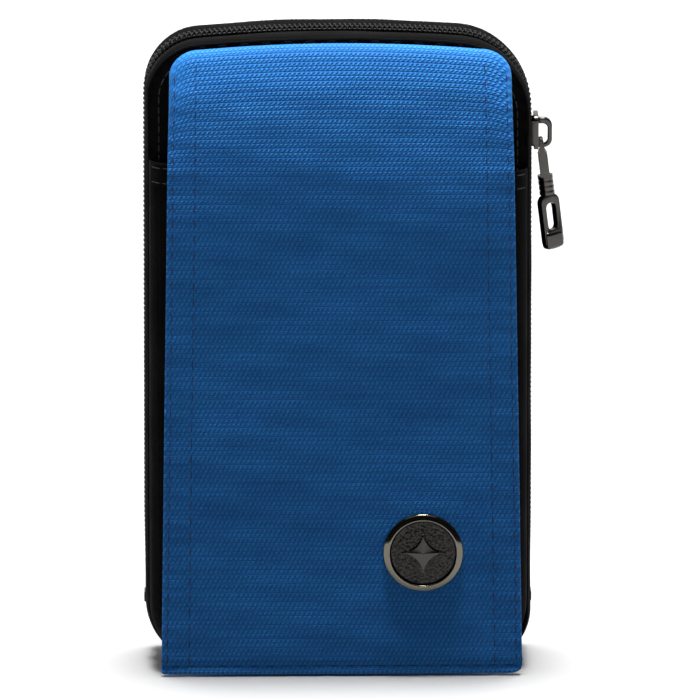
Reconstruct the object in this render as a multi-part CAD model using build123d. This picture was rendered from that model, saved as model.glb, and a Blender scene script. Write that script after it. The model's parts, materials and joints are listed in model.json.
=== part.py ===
from build123d import *
import math
import os

os.makedirs("parts", exist_ok=True)

# A zipped travel pouch with a front flap. Millimetres, +Z up, the front faces -Y.
# The origin is the middle of the base, on the surface the pouch stands on.
# y = 0 is the plane of the zipper, which runs up one side, over the top and down the other.

# ---- driving dimensions ----
WIDTH = 112.0              # across the zipper coils
HEIGHT = 188.0             # base to the top of the coil
HALF_DEPTH = 12.0          # zipper plane to the inner face of each outer panel
CROWN_RADIUS = 450.0       # the top edge is very slightly arched
TOP_LEFT_RADIUS = 16.0
TOP_RIGHT_RADIUS = 21.5
BOTTOM_RADIUS = 20.5

FABRIC = 0.8               # woven polyester, coated
PADDING = 1.7
LINING = 0.4

COIL_HEIGHT = 2.4          # how far the coil stands off the tape
COIL_WIDTH = 2.85          # one half of a size 5 coil
COIL_MESHED_GAP = 0.05     # each half's distance from y = 0 where the zip is closed
COIL_PARTED_GAP = 0.8      # the same below the slider, where it is open
COIL_END_Z = 20.7
TAPE = 0.5
TAPE_EDGE = 9.0
STOP_LENGTH = 3.0

GUSSET_INSET = 1.4
GUSSET = 1.0
GUSSET_EDGE = 5.4          # the folded edge sewn down beside the coil
PANEL_INSET = 2.2          # the outer panels reach the folded seam with the gusset
INNER_INSET = 3.6          # padding and lining stop inside the seams

BASE_HALF_LENGTH = WIDTH / 2 - BOTTOM_RADIUS
BASE = 1.2
BASE_END_Z = 17.1          # the spine's turned-up ends stop just under the zip's stops
SEAM_GAP = 0.3

POCKET_DEPTH = 5.2
POCKET_TOP = 148.0
POCKET_FABRIC = 0.6
POCKET_INSET = 2.6
HEM_HEIGHT = 6.0

FLAP_TOP_HALF_WIDTH = 49.2
FLAP_BOTTOM_HALF_WIDTH = 51.7
FLAP_TOP_Z = HEIGHT - 2.8
FLAP_BREAK_Z = 148.5       # where the flap bends over the pocket's hem
FLAP_CENTRE_X = 0.6        # the flap is sewn on slightly to the right
FLAP_BOTTOM_Z = 0.5
FLAP_FRONT_Y = -21.2
FLAP_SEAM_Y = -13.8
FLAP_LIP = 1.5             # how far the flap stands forward before it turns down
FLAP_BREAK_RADIUS = 60.0
FLAP_BOTTOM_RADIUS = 3.5
STIFFENER = 0.45
FLAP_LINING = 0.35
SEAM_TAPE_HEIGHT = 5.0

BADGE_X = 24.2
BADGE_Z = 37.2
BADGE_RADIUS = 11.5
BADGE_DISC_RADIUS = 9.0
BADGE_POST_RADIUS = 1.2
BADGE_POST_HOLE = 1.4

PATCH_CENTRE = (-16.0, 26.0)
PATCH_SIZE = (44.0, 18.0)
PATCH = 0.4

LOOP_WIDTH = 36.0          # belt loop on the back
LOOP_BOTTOM = 106.0
LOOP_TOP = 168.0
LOOP_GAP = 5.6
WEBBING = 1.6

SLIDER_BOTTOM = 151.8
SLIDER_LENGTH = 10.0
SLIDER_HALF_WIDTH = 4.75
SLIDER_CHANNEL = 3.9
SLIDER_PLATE = 1.3
SLIDER_NECK = 1.3
COIL_SPLIT_Z = SLIDER_BOTTOM + 0.5 * SLIDER_LENGTH

PIVOT_X = 58.4             # where the pull hangs in the slider's bridge
PIVOT_Z = 153.8
PULL_TILT = 7.0            # degrees outward
TAB_TURN = 38.0            # the lower loop is turned on its swivel
ARM_HALF_WIDTH = 1.35      # narrower at the eye, to clear the slider's plate
COLLAR_TOP = -10.2
COLLAR_BOTTOM = -16.0
TAB_BOTTOM = -32.0


def block(x, y, z):
    """A box between two limits on each axis."""
    centre = [(low + high) / 2 for low, high in (x, y, z)]
    size = [high - low for low, high in (x, y, z)]
    return Pos(*centre) * Box(*size)


def corner(radius):
    """Centre of a top corner's arc, tangent to the side and to the crown, and its angle there."""
    x = WIDTH / 2 - radius
    rise = math.sqrt((CROWN_RADIUS - radius) ** 2 - x ** 2)
    return x, HEIGHT - CROWN_RADIUS + rise, math.degrees(math.atan2(rise, x))


def outline(inset):
    """The pouch's front outline, every edge moved inward by the same amount."""
    half = WIDTH / 2 - inset
    flat = WIDTH / 2 - BOTTOM_RADIUS
    xr, zr, ar = corner(TOP_RIGHT_RADIUS)
    xl, zl, al = corner(TOP_LEFT_RADIUS)
    bottom = BOTTOM_RADIUS - inset
    edges = Line((-flat, inset), (flat, inset))
    edges += CenterArc((flat, BOTTOM_RADIUS), bottom, -90, 90)
    edges += Line((half, BOTTOM_RADIUS), (half, zr))
    edges += CenterArc((xr, zr), TOP_RIGHT_RADIUS - inset, 0, ar)
    edges += CenterArc((0, HEIGHT - CROWN_RADIUS), CROWN_RADIUS - inset, ar, 180 - al - ar)
    edges += CenterArc((-xl, zl), TOP_LEFT_RADIUS - inset, 180 - al, al)
    edges += Line((-half, zl), (-half, BOTTOM_RADIUS))
    edges += CenterArc((-flat, BOTTOM_RADIUS), bottom, 180, 90)
    return Plane.XZ * make_face(edges)


def slab(inset, y_front, y_back):
    """The outline as a plate between two depths."""
    return Pos(0, y_back, 0) * extrude(outline(inset), y_back - y_front)


def ring(outer, inner, y_front, y_back):
    """A wall that follows the outline, between two insets."""
    return slab(outer, y_front, y_back) - slab(inner, y_front - 1, y_back + 1)


def sides_and_top(wall):
    """Leaves out the run along the base, which is a separate strip."""
    reach = BASE_HALF_LENGTH + SEAM_GAP
    return wall - block((-reach, reach), (-40, 40), (-1, 12))


def above(wall, z):
    return wall - block((-80, 80), (-40, 40), (-1, z))


def save(node, solid):
    solid.label = node
    export_step(solid, f"parts/{node}.step")


# ---- the two padded half shells, made for the back and mirrored for the front ----

def panel():
    return slab(PANEL_INSET, HALF_DEPTH, HALF_DEPTH + FABRIC)


def padding():
    back = HALF_DEPTH - 0.1
    return slab(INNER_INSET, back - PADDING, back)


def lining():
    back = HALF_DEPTH - 0.1 - PADDING - 0.1
    return slab(INNER_INSET, back - LINING, back)


def gusset():
    wall = ring(GUSSET_INSET, GUSSET_INSET + GUSSET, GUSSET_EDGE, HALF_DEPTH - 0.05)
    return sides_and_top(wall)


def gusset_lining():
    front = GUSSET_EDGE
    back = HALF_DEPTH - PADDING - LINING - 0.3
    return sides_and_top(ring(INNER_INSET - 0.6, INNER_INSET - 0.2, front, back))


def tape():
    inset = GUSSET_INSET + GUSSET + 0.05
    return above(ring(inset, inset + TAPE, COIL_PARTED_GAP + 0.1, TAPE_EDGE), BOTTOM_RADIUS - 6)


def coil():
    """Half of the coil: meshed with its partner, then parted down the right side below the slider."""
    meshed = ring(0, COIL_HEIGHT, COIL_MESHED_GAP, COIL_MESHED_GAP + COIL_WIDTH)
    parted = ring(0, COIL_HEIGHT, COIL_PARTED_GAP, COIL_PARTED_GAP + COIL_WIDTH)
    right_side = block((0, 80), (-40, 40), (-1, COIL_SPLIT_Z))
    return above((meshed - right_side) + (parted & right_side), COIL_END_Z)


def top_stop():
    """A crimped stop under the end of one parted coil half."""
    x = (WIDTH / 2 - COIL_HEIGHT, WIDTH / 2 + 0.2)
    y = (COIL_PARTED_GAP, COIL_PARTED_GAP + COIL_WIDTH)
    z = (COIL_END_Z - 0.2 - STOP_LENGTH, COIL_END_Z - 0.2)
    return fillet(block(x, y, z).edges(), 0.4)


HALF_PIECES = {
    "panel": panel,
    "padding": padding,
    "lining": lining,
    "gusset": gusset,
    "gusset_lining": gusset_lining,
    "zipper_tape": tape,
    "zipper_coil": coil,
    "zipper_top_stop": top_stop,
}


def save_half_shells():
    for name, make in HALF_PIECES.items():
        piece = make()
        zipper = name.startswith("zipper")
        save(f"{name}_back" if zipper else f"back_{name}", piece)
        save(f"{name}_front" if zipper else f"front_{name}", mirror(piece, about=Plane.XZ))


# ---- pieces that are only on the back shell ----

def base_strip():
    """The spine along the base, which bends as the shells open, with ends that turn up
    round the bottom corners between the two gussets."""
    depth = HALF_DEPTH - SEAM_GAP
    strip = block((-BASE_HALF_LENGTH, BASE_HALF_LENGTH), (-depth, depth), (0, BASE))
    reach = GUSSET_EDGE - SEAM_GAP
    ends = ring(0.2, 0.2 + BASE, -reach, reach)
    ends -= block((-80, 80), (-40, 40), (BASE_END_Z, HEIGHT + 10))
    inner = BASE_HALF_LENGTH - 0.5
    return strip + (ends - block((-inner, inner), (-40, 40), (-1, HEIGHT)))


def base_lining():
    depth = HALF_DEPTH - PADDING - LINING - 0.6
    reach = BASE_HALF_LENGTH - 1.0
    low = BASE + 0.1
    return block((-reach, reach), (-depth, depth), (low, low + LINING))


def zipper_end_stop():
    """The staple across both coil halves at the closed end of the zip."""
    reach = COIL_MESHED_GAP + COIL_WIDTH
    x = (-WIDTH / 2 - 0.2, -WIDTH / 2 + COIL_HEIGHT)
    z = (COIL_END_Z - 0.2 - STOP_LENGTH, COIL_END_Z - 0.2)
    return fillet(block(x, (-reach, reach), z).edges(), 0.4)


def belt_loop():
    """A band of webbing sewn down at both ends, with a gap behind it for a belt."""
    front = HALF_DEPTH + FABRIC + 0.05
    back = front + LOOP_GAP + WEBBING
    band = block((-LOOP_WIDTH / 2, LOOP_WIDTH / 2), (front, back), (LOOP_BOTTOM, LOOP_TOP))
    outer_edges = band.edges().filter_by(Axis.X).group_by(Axis.Y)[-1]
    band = fillet(outer_edges, 3.0)
    gap_z = (LOOP_BOTTOM + 5, LOOP_TOP - 5)
    gap = block((-LOOP_WIDTH, LOOP_WIDTH), (front - 1, front + LOOP_GAP), gap_z)
    gap = fillet(gap.edges().filter_by(Axis.X).group_by(Axis.Y)[-1], 1.5)
    return band - gap


# ---- pieces that are only on the front shell ----

def front_pocket():
    """A slip pocket over the front panel, open at the top under the flap."""
    back = -(HALF_DEPTH + FABRIC + 0.05)
    front = back - POCKET_DEPTH - POCKET_FABRIC
    tray = slab(POCKET_INSET, front, back)
    tray -= slab(POCKET_INSET + POCKET_FABRIC, front + POCKET_FABRIC, back + 1)
    return tray - block((-80, 80), (-40, 40), (POCKET_TOP, HEIGHT + 10))


POCKET_FRONT_Y = -(HALF_DEPTH + FABRIC + 0.05 + POCKET_DEPTH + POCKET_FABRIC)


def pocket_hem():
    """The folded hem inside the pocket's mouth."""
    reach = WIDTH / 2 - POCKET_INSET - POCKET_FABRIC - 0.3
    y = (POCKET_FRONT_Y + POCKET_FABRIC + 0.02, POCKET_FRONT_Y + POCKET_FABRIC + 0.32)
    return block((-reach, reach), y, (POCKET_TOP - HEM_HEIGHT, POCKET_TOP))


def flap_seam_tape():
    """The tape over the seam that the flap is sewn into, along the top of the front panel."""
    y_back = -(HALF_DEPTH + FABRIC + 0.05)
    strip = slab(HEIGHT - FLAP_TOP_Z + 0.1, FLAP_SEAM_Y + SEAM_GAP, y_back)
    reach = FLAP_TOP_HALF_WIDTH - 0.7
    x = (FLAP_CENTRE_X - reach, FLAP_CENTRE_X + reach)
    return strip & block(x, (-40, 0), (FLAP_TOP_Z - SEAM_TAPE_HEIGHT, HEIGHT))


def patch(y_front):
    """Half of the hook-and-loop fastener."""
    x, z = PATCH_CENTRE
    w, h = PATCH_SIZE
    pad = block((x - w / 2, x + w / 2), (y_front, y_front + PATCH), (z - h / 2, z + h / 2))
    return fillet(pad.edges().filter_by(Axis.Y), 2.0)


# ---- the flap, three layers that bend over the pocket's hem ----

FLAP_TOTAL = FABRIC + STIFFENER + FLAP_LINING + 0.1


def flap_region(depth):
    """The flap's section in YZ, from its outer face moved in by a depth, back to the seam."""
    front = FLAP_FRONT_Y + depth
    top = FLAP_TOP_Z - depth
    lip = FLAP_SEAM_Y - FLAP_LIP + 0.5 * depth
    curve = FilletPolyline(
        (FLAP_SEAM_Y, top),
        (lip, top - 0.2),
        (front, FLAP_BREAK_Z),
        (front, FLAP_BOTTOM_Z),
        radius=[1.0 - 0.35 * depth, FLAP_BREAK_RADIUS],
    )
    edges = curve + Line((front, FLAP_BOTTOM_Z), (FLAP_SEAM_Y, FLAP_BOTTOM_Z))
    edges += Line((FLAP_SEAM_Y, FLAP_BOTTOM_Z), (FLAP_SEAM_Y, top))
    reach = 2 * FLAP_BOTTOM_HALF_WIDTH
    return Pos(-reach / 2, 0, 0) * extrude(Plane.YZ * make_face(edges), reach)


def flap_outline(margin):
    """The flap's front outline: wider at the bottom, arched along its top seam."""
    top = FLAP_TOP_HALF_WIDTH - margin
    bottom = FLAP_BOTTOM_HALF_WIDTH - margin
    low = FLAP_BOTTOM_Z + margin
    face = make_face(Polyline((-bottom, low), (bottom, low), (top, HEIGHT), (-top, HEIGHT), close=True))
    plate = extrude(Plane.XZ * face, 60)
    plate = fillet(plate.edges().filter_by(Axis.Y).group_by(Axis.Z)[0], FLAP_BOTTOM_RADIUS)
    below_crown = block((-80, 80), (-60, 0), (-1, POCKET_TOP - 20))
    arched = slab(HEIGHT - FLAP_TOP_Z, -60, 0) + below_crown
    return (Pos(FLAP_CENTRE_X, 0, 0) * plate) & arched


def flap_layer(near, far, margin=0.0):
    return (flap_region(near) - flap_region(far)) & flap_outline(margin)


def badge_hole():
    return Pos(BADGE_X, FLAP_FRONT_Y, BADGE_Z) * Rot(90, 0, 0) * Cylinder(BADGE_POST_HOLE, 20)


def disc_y(radius, y_front, y_back):
    """A round plate on the badge's axis, between two depths."""
    plate = Rot(90, 0, 0) * Cylinder(radius, y_back - y_front)
    return Pos(BADGE_X, (y_front + y_back) / 2, BADGE_Z) * plate


def badge_bezel():
    face = FLAP_FRONT_Y
    rim = disc_y(BADGE_RADIUS, face - 1.5, face)
    rim = chamfer(rim.edges().group_by(Axis.Y)[0], 0.9)
    return rim - disc_y(BADGE_DISC_RADIUS + 0.05, face - 3, face + 1)


def badge_disc():
    """The domed middle of the badge, with the post that goes through the flap."""
    face = FLAP_FRONT_Y
    disc = disc_y(BADGE_DISC_RADIUS, face - 0.9, face)
    post = disc_y(BADGE_POST_RADIUS, face - 0.1, face + FLAP_TOTAL + 0.3)
    return disc + post


def badge_washer():
    inside = FLAP_FRONT_Y + FLAP_TOTAL
    return disc_y(6.5, inside, inside + 0.3) - disc_y(BADGE_POST_RADIUS + 0.02, inside - 1, inside + 1)


# ---- the zipper slider and its pull ----

def slider_body():
    """Two plates joined by a neck, with flanges that hold both coil halves in the channel."""
    outside = WIDTH / 2 + 0.3
    inside = WIDTH / 2 - COIL_HEIGHT - TAPE - 0.35
    top = SLIDER_BOTTOM + SLIDER_LENGTH
    z = (SLIDER_BOTTOM, top)
    half = SLIDER_HALF_WIDTH
    outer = block((outside, outside + SLIDER_PLATE), (-half, half), z)
    outer = fillet(outer.edges().filter_by(Axis.X), 1.6)
    inner = block((inside - 1.0, inside), (-half, half), z)
    inner = fillet(inner.edges().filter_by(Axis.X), 1.6)
    neck = block((inside - 0.5, outside + 0.5), (-SLIDER_NECK / 2, SLIDER_NECK / 2),
                 (SLIDER_BOTTOM + 0.3, SLIDER_BOTTOM + 2.6))
    body = outer + inner + neck
    for side in (-1, 1):
        low, high = sorted((side * SLIDER_CHANNEL, side * half))
        body += block((outside - 2.3, outside + 0.4), (low, high), (SLIDER_BOTTOM + 1.7, top - 1.7))
    return body


def slider_bridge():
    """The D-shaped bail on the slider's outer plate that the pull hangs from."""
    face = WIDTH / 2 + 0.3 + SLIDER_PLATE
    reach = 4.0
    bottom, top = SLIDER_BOTTOM + 0.05, SLIDER_BOTTOM + 8.8
    bail = block((face, face + reach), (-0.9, 0.9), (bottom, top))
    bail = fillet(bail.edges().filter_by(Axis.Y).group_by(Axis.X)[-1], 2.4)
    opening = block((face - 1, face + reach - 1.3), (-2, 2), (bottom + 1.15, top - 1.8))
    opening = fillet(opening.edges().filter_by(Axis.Y).group_by(Axis.X)[-1], 1.4)
    return bail - opening


def pull_place():
    """The pull's own frame, hanging along its -Z from the bridge."""
    return Pos(PIVOT_X, 0, PIVOT_Z) * Rot(0, -PULL_TILT, 0)


def upright(radius, low, high):
    return Pos(0, 0, (low + high) / 2) * Cylinder(radius, high - low)


def pull_link():
    """An eye bar, two arms that straddle the bridge, and a ribbed collar for the swivel."""
    link = Rot(90, 0, 0) * Cylinder(0.55, 4.2)
    bottom = COLLAR_TOP - 0.4
    right_edge = [(0.7, 0), (0.7, -2.6), (ARM_HALF_WIDTH, -3.9), (ARM_HALF_WIDTH, bottom)]
    left_edge = [(-x, z) for x, z in reversed(right_edge)]
    arm = Plane.XZ * make_face(Polyline(*right_edge, *left_edge, close=True))
    for side in (-1, 1):
        link += Pos(0, side * 1.7 + 0.5, 0) * extrude(arm, 1.0)
        link += Pos(0, side * 1.7, 0) * Rot(90, 0, 0) * Cylinder(0.7, 1.0)
    collar = upright(2.2, COLLAR_BOTTOM, COLLAR_TOP)
    for step in range(3):
        groove = COLLAR_TOP - 1.5 - 1.5 * step
        collar -= upright(3, groove - 0.25, groove + 0.25) - upright(1.95, groove - 1, groove + 1)
    link += collar
    link -= upright(0.95, COLLAR_BOTTOM - 1, COLLAR_TOP + 1)
    link -= upright(1.45, COLLAR_TOP - 1.5, COLLAR_TOP + 1.4)
    return pull_place() * link


def swivel_pin():
    """The headed pin that lets the lower loop turn under the collar."""
    pin = upright(0.9, COLLAR_BOTTOM - 1.6, COLLAR_TOP - 1.2)
    return pull_place() * (pin + upright(1.35, COLLAR_TOP - 1.45, COLLAR_TOP - 0.3))


def pull_tab():
    """The lower loop: a long eye that thickens into a rounded grip."""
    top = COLLAR_BOTTOM - 0.1
    width, thick, grip_thick = 6.6, 2.0, 3.4
    frame = block((-width / 2, width / 2), (-thick / 2, thick / 2), (TAB_BOTTOM, top))
    frame = fillet(frame.edges().filter_by(Axis.Y), 2.4)
    window = block((-1.8, 1.8), (-5, 5), (TAB_BOTTOM + 5.5, top - 2.4))
    window = fillet(window.edges().filter_by(Axis.Y), 1.5)
    reach = width / 2 - 0.1
    grip = block((-reach, reach), (-grip_thick / 2, grip_thick / 2), (TAB_BOTTOM, TAB_BOTTOM + 5.2))
    grip = fillet(grip.edges(), 1.2)
    tab = frame - window + grip - upright(0.9, top - 1.5, top + 1)
    return pull_place() * Rot(0, 0, TAB_TURN) * tab


save_half_shells()
save("base_strip", base_strip())
save("base_lining", base_lining())
save("zipper_end_stop", zipper_end_stop())
save("belt_loop", belt_loop())
save("front_pocket", front_pocket())
save("pocket_hem", pocket_hem())
save("flap_seam_tape", flap_seam_tape())
save("loop_patch", patch(POCKET_FRONT_Y - PATCH))
save("flap_cover", flap_layer(0, FABRIC) - badge_hole())
save("flap_stiffener", flap_layer(FABRIC + 0.05, FABRIC + 0.05 + STIFFENER, 1.5) - badge_hole())
save("flap_lining", flap_layer(FABRIC + STIFFENER + 0.1, FLAP_TOTAL, 0.5) - badge_hole())
save("hook_patch", patch(FLAP_FRONT_Y + FLAP_TOTAL))
save("badge_bezel", badge_bezel())
save("badge_disc", badge_disc())
save("badge_washer", badge_washer())
save("slider_body", slider_body())
save("slider_bridge", slider_bridge())
save("pull_link", pull_link())
save("swivel_pin", swivel_pin())
save("pull_tab", pull_tab())
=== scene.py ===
import json
import math

import bmesh
import bpy
import numpy as np
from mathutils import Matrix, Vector

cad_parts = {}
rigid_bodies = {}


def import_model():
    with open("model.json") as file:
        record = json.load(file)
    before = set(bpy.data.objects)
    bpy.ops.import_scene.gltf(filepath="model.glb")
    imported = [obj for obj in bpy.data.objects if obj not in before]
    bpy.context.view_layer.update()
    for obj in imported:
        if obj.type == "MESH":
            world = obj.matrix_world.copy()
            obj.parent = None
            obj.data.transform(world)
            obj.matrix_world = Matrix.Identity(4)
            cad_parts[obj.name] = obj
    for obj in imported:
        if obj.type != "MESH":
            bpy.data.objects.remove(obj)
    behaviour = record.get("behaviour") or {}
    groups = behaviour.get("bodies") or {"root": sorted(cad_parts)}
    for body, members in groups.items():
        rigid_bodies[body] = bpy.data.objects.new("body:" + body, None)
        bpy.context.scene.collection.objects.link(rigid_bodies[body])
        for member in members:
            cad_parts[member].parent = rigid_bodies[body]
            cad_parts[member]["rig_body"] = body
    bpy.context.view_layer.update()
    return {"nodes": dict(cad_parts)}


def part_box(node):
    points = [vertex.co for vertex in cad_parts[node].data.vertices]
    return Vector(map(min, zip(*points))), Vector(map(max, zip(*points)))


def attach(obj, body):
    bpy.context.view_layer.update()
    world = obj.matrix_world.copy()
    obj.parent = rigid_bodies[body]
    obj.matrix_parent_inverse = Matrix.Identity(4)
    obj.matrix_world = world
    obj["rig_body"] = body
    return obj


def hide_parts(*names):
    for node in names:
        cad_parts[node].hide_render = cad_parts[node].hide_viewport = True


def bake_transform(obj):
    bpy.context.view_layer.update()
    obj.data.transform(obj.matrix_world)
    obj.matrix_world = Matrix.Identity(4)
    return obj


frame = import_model()

# Lengths are in millimetres up to new_mesh(), which writes metres. The front faces -Y.
MM = 0.001


def mm_box(node):
    low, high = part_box(node)
    return low / MM, high / MM


# ---- driving sizes, read from the frame ----
COIL_LOW, COIL_HIGH = mm_box("zipper_coil_back")
HALF_WIDTH = COIL_HIGH.x
HEIGHT = COIL_HIGH.z
COIL_END = COIL_LOW.z
PANEL_Y = mm_box("back_panel")[1].y
POCKET_Y = -mm_box("front_pocket")[0].y
POCKET_TOP = mm_box("front_pocket")[1].z
FLAP_Y = mm_box("flap_cover")[0].y
FLAP_LOW = mm_box("flap_cover")[0].z
FLAP_HIGH = mm_box("flap_cover")[1].z
FLAP_SEAM_Y = mm_box("flap_cover")[1].y
SLIDER_HIGH = mm_box("slider_body")[1]
BADGE_LOW, BADGE_HIGH = mm_box("badge_bezel")
LOOP_LOW, LOOP_HIGH = mm_box("belt_loop")
CROWN_RADIUS = 450.0
TOP_LEFT, TOP_RIGHT = 17.0, 23.0
BOTTOM = 20.5
BOTTOM_RIGHT = 17.0        # the fabric is fuller at this corner
TAPER = 0.011              # the soft body spreads a little towards its base


# ---- mesh helpers ----

def new_mesh(name, verts, faces, material, smooth=True, uv=None):
    """A mesh object from points in millimetres. uv holds one pair of millimetres per point."""
    mesh = bpy.data.meshes.new(name)
    verts = np.array(verts, float)
    verts[:, 0] *= 1 + TAPER * (0.5 - np.clip(verts[:, 2] / HEIGHT, 0, 1))
    mesh.from_pydata((verts * MM).tolist(), [], faces)
    mesh.validate()
    if uv is not None:
        layer = mesh.uv_layers.new(name="weave")
        loops = np.zeros(len(mesh.loops), np.int32)
        mesh.loops.foreach_get("vertex_index", loops)
        layer.data.foreach_set("uv", np.asarray(uv, np.float32)[loops].ravel())
    mesh.polygons.foreach_set("use_smooth", [smooth] * len(mesh.polygons))
    obj = bpy.data.objects.new(name, mesh)
    bpy.context.scene.collection.objects.link(obj)
    mesh.materials.append(material)
    return obj


def grid_faces(rows, cols, closed=False):
    """Quads of a grid of points stored row by row. closed joins the last column to the first."""
    faces = []
    for r in range(rows - 1):
        for c in range(cols if closed else cols - 1):
            d = (c + 1) % cols
            faces.append((r * cols + c, r * cols + d, (r + 1) * cols + d, (r + 1) * cols + c))
    return faces


def recalc(obj):
    bm = bmesh.new()
    bm.from_mesh(obj.data)
    bmesh.ops.recalc_face_normals(bm, faces=bm.faces)
    bm.to_mesh(obj.data)
    bm.free()


def apply_modifiers(obj):
    depsgraph = bpy.context.evaluated_depsgraph_get()
    done = bpy.data.meshes.new_from_object(obj.evaluated_get(depsgraph))
    obj.modifiers.clear()
    obj.data = done


def smooth_up(obj, levels=1):
    mod = obj.modifiers.new("smooth", "SUBSURF")
    mod.levels = mod.render_levels = levels
    apply_modifiers(obj)


def sheet_mesh(name, points, thickness, material, uv=None, closed=False, levels=1):
    """A cloth of real thickness from a grid of points on its outer face; it grows inward."""
    rows, cols = points.shape[:2]
    down = np.gradient(points, axis=0)
    if closed:
        along = (np.roll(points, -1, 1) - np.roll(points, 1, 1)) / 2
    else:
        along = np.gradient(points, axis=1)
    normal = np.cross(down, along)
    normal /= np.maximum(np.linalg.norm(normal, axis=2, keepdims=True), 1e-9)
    flat = [p.reshape(-1, 3) for p in (points, points + normal * thickness)]
    verts = np.vstack(flat)
    shift = rows * cols
    outer = grid_faces(rows, cols, closed)
    faces = outer + [tuple(v + shift for v in reversed(f)) for f in outer]
    count = cols if closed else cols - 1
    for c in range(count):
        d = (c + 1) % cols
        faces.append((d, c, c + shift, d + shift))
        low = (rows - 1) * cols
        faces.append((low + c, low + d, low + d + shift, low + c + shift))
    if not closed:
        for r in range(rows - 1):
            a, b = r * cols, (r + 1) * cols
            faces.append((a, b, b + shift, a + shift))
            a, b = a + cols - 1, b + cols - 1
            faces.append((b, a, a + shift, b + shift))
    both = None if uv is None else np.vstack([uv.reshape(-1, 2)] * 2)
    obj = new_mesh(name, verts, faces, material, uv=both)
    recalc(obj)
    if levels:
        smooth_up(obj, levels)
    return obj


def tube(points, radius, sides=6, closed=False):
    """Points and faces of a round tube along a path."""
    points = np.asarray(points, float)
    if closed:
        tangent = np.roll(points, -1, 0) - np.roll(points, 1, 0)
    else:
        tangent = np.gradient(points, axis=0)
    tangent /= np.linalg.norm(tangent, axis=1, keepdims=True)
    guide = np.where(np.abs(tangent[:, 1:2]) < 0.9, [[0.0, 1.0, 0.0]], [[1.0, 0.0, 0.0]])
    side = np.cross(tangent, guide)
    side /= np.linalg.norm(side, axis=1, keepdims=True)
    other = np.cross(tangent, side)
    angle = np.linspace(0, 2 * math.pi, sides, endpoint=False)
    radius = np.broadcast_to(np.asarray(radius, float), (len(points),))[:, None, None]
    ring = side[:, None] * np.cos(angle)[None, :, None] + other[:, None] * np.sin(angle)[None, :, None]
    verts = (points[:, None] + ring * radius).reshape(-1, 3)
    faces = grid_faces(len(points), sides, True)
    if closed:
        last = (len(points) - 1) * sides
        faces += [(last + c, last + (c + 1) % sides, (c + 1) % sides, c) for c in range(sides)]
    else:
        faces.append(tuple(range(sides)))
        faces.append(tuple(range(len(points) * sides - 1, (len(points) - 1) * sides - 1, -1)))
    return verts, faces


def join_parts(name, parts, material):
    verts, faces, shift = [], [], 0
    for v, f in parts:
        verts.append(v)
        faces += [tuple(i + shift for i in face) for face in f]
        shift += len(v)
    obj = new_mesh(name, np.vstack(verts), faces, material)
    recalc(obj)
    return obj


def softened(node, name, material, width=0.25, segments=3):
    """A copy of a CAD node with worn, rounded edges, which stands for it."""
    mesh = frame["nodes"][node].data.copy()
    mesh.materials.clear()
    mesh.materials.append(material)
    bm = bmesh.new()
    bm.from_mesh(mesh)
    bmesh.ops.remove_doubles(bm, verts=bm.verts, dist=0.004 * MM)
    bmesh.ops.dissolve_limit(bm, angle_limit=math.radians(2), verts=bm.verts, edges=bm.edges)
    bm.to_mesh(mesh)
    bm.free()
    obj = bpy.data.objects.new(name, mesh)
    bpy.context.scene.collection.objects.link(obj)
    bevel = obj.modifiers.new("edges", "BEVEL")
    bevel.width = width * MM
    bevel.segments = segments
    bevel.limit_method = "ANGLE"
    bevel.angle_limit = math.radians(28)
    apply_modifiers(obj)
    obj.data.polygons.foreach_set("use_smooth", [True] * len(obj.data.polygons))
    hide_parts(node)
    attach(obj, frame["nodes"][node]["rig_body"])
    return obj


def ripple(x, z, scale, seed=0.0):
    """A smooth, repeatable unevenness from a few crossed waves, between about -1 and 1."""
    total = 0.0
    for k in range(4):
        turn = 1.3 + 2.1 * k + seed
        freq = (0.6 + 0.37 * k) / scale
        total = total + np.sin(freq * (x * math.cos(turn) + z * math.sin(turn)) * 2 * math.pi + 5 * turn)
    return total / 4


def ease(t):
    t = np.clip(t, 0, 1)
    return t * t * (3 - 2 * t)


# ---- the outline that every ring of the shell follows ----

def corner(radius):
    x = HALF_WIDTH - radius
    rise = math.sqrt((CROWN_RADIUS - radius) ** 2 - x ** 2)
    return x, HEIGHT - CROWN_RADIUS + rise, math.degrees(math.atan2(rise, x))


def outline(inset):
    """Points (x, z) anticlockwise from the middle of the base, the same count for every inset."""
    half, flat = HALF_WIDTH - inset, HALF_WIDTH - BOTTOM
    xr, zr, ar = corner(TOP_RIGHT)
    xl, zl, al = corner(TOP_LEFT)

    def line(a, b, n):
        t = np.linspace(0, 1, n, endpoint=False)[:, None]
        return np.array(a) * (1 - t) + np.array(b) * t

    def arc(centre, radius, start, sweep, n):
        a = np.radians(start + sweep * np.linspace(0, 1, n, endpoint=False))[:, None]
        return np.array(centre) + radius * np.hstack([np.cos(a), np.sin(a)])

    return np.vstack([
        line((0, inset), (HALF_WIDTH - BOTTOM_RIGHT, inset), 16),
        arc((HALF_WIDTH - BOTTOM_RIGHT, BOTTOM_RIGHT), BOTTOM_RIGHT - inset, -90, 90, 14),
        line((half, BOTTOM_RIGHT), (half, zr), 60),
        arc((xr, zr), TOP_RIGHT - inset, 0, ar, 20),
        arc((0, HEIGHT - CROWN_RADIUS), CROWN_RADIUS - inset, ar, 180 - al - ar, 36),
        arc((-xl, zl), TOP_LEFT - inset, 180 - al, al, 16),
        line((-half, zl), (-half, BOTTOM), 60),
        arc((-flat, BOTTOM), BOTTOM - inset, 180, 90, 14),
        line((-flat, inset), (0, inset), 16),
    ])


BASE_POINTS = 16
OUTLINE_COUNT = len(outline(0))


def lengths(points):
    step = np.linalg.norm(np.diff(points, axis=0), axis=1)
    return np.concatenate([[0], np.cumsum(step)])


# ---- materials ----

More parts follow.
